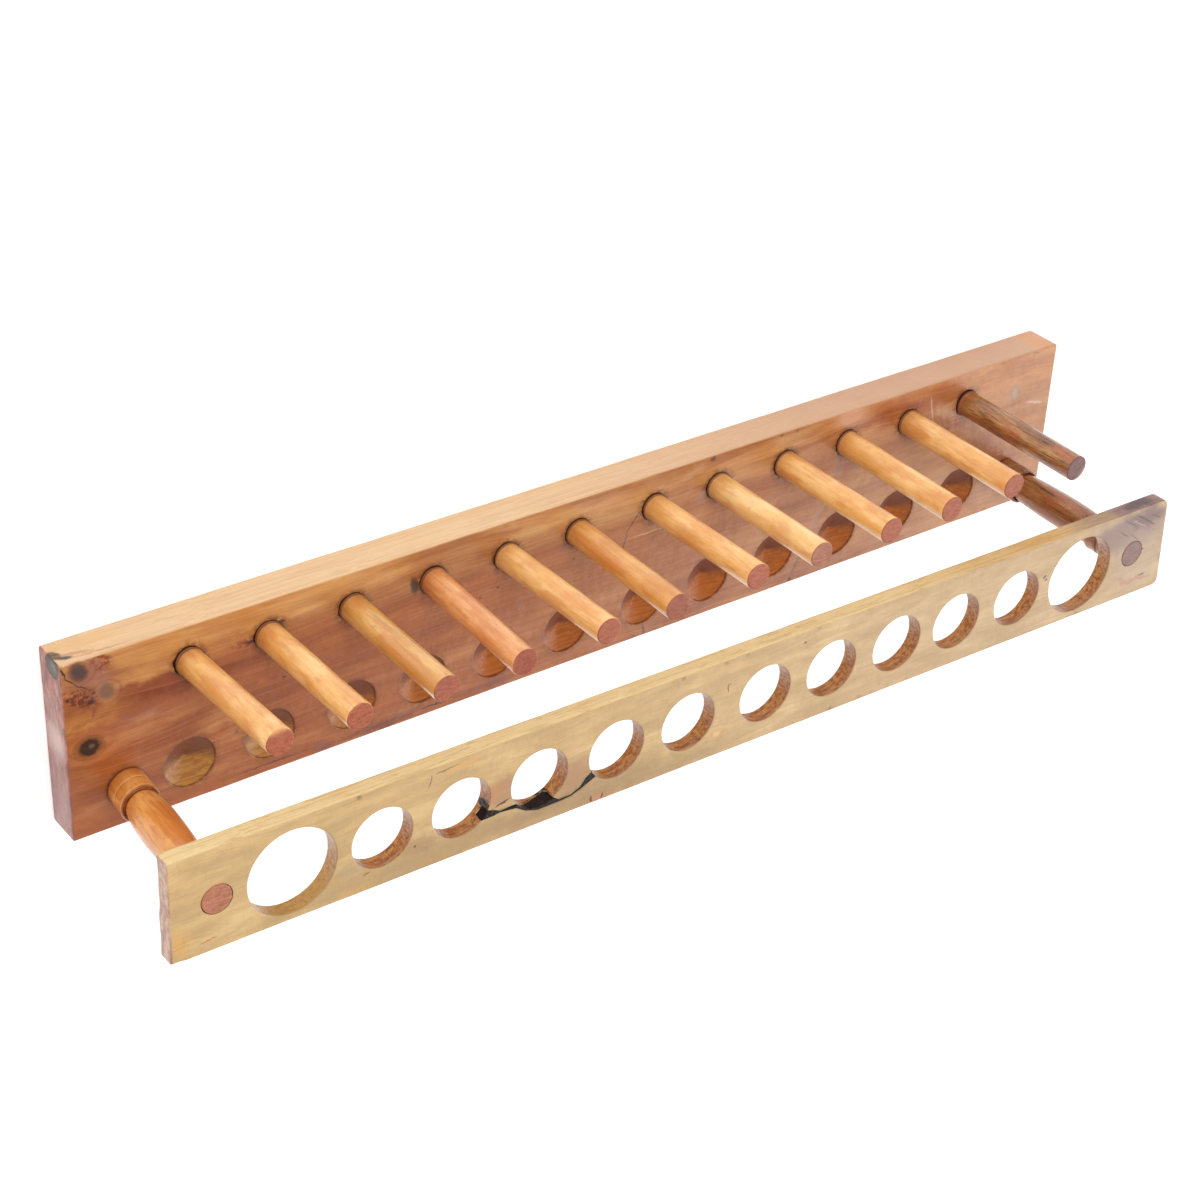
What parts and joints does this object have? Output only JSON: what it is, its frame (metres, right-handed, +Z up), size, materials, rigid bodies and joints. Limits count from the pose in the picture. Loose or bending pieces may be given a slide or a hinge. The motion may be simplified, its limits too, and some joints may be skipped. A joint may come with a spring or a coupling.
{
  "type": "test tube rack",
  "caption": "Wooden test tube rack: a base board with conical seats and drying pegs, and a plate of tube holes held above it on turned posts.",
  "frame": {"origin": "middle of the base board's underside, where the rack stands on a bench", "axes": "+X along the rack's length, towards the dark peg; +Y across it, from the tube holes to the drying pegs; +Z up"},
  "size_m": [0.4224, 0.0729, 0.0827],
  "materials": {
    "base_wood": "glossy varnish over reddish-brown board, with knots",
    "plate_wood": "satin varnish over pale yellow-brown board, stained grey at one end",
    "post_wood": "glossy varnish over turned orange-brown wood",
    "dark_post_wood": "glossy varnish over turned dark brown wood",
    "peg_wood": "glossy varnish over honey-coloured dowel",
    "dark_peg_wood": "glossy varnish over dark brown dowel",
    "black_resin": "glossy black resin, level with the wood"
  },
  "bodies": {
    "root": {"base_board": "base_wood", "hole_plate": "plate_wood", "peg_01": "peg_wood", "peg_02": "peg_wood", "peg_03": "peg_wood", "peg_04": "peg_wood", "peg_05": "peg_wood", "peg_06": "peg_wood", "peg_07": "peg_wood", "peg_08": "peg_wood", "peg_09": "peg_wood", "peg_10": "peg_wood", "peg_11": "peg_wood", "peg_12": "dark_peg_wood", "post_left": "post_wood", "post_right": "dark_post_wood", "resin_fill": "black_resin"}
  },
  "joints": []
}
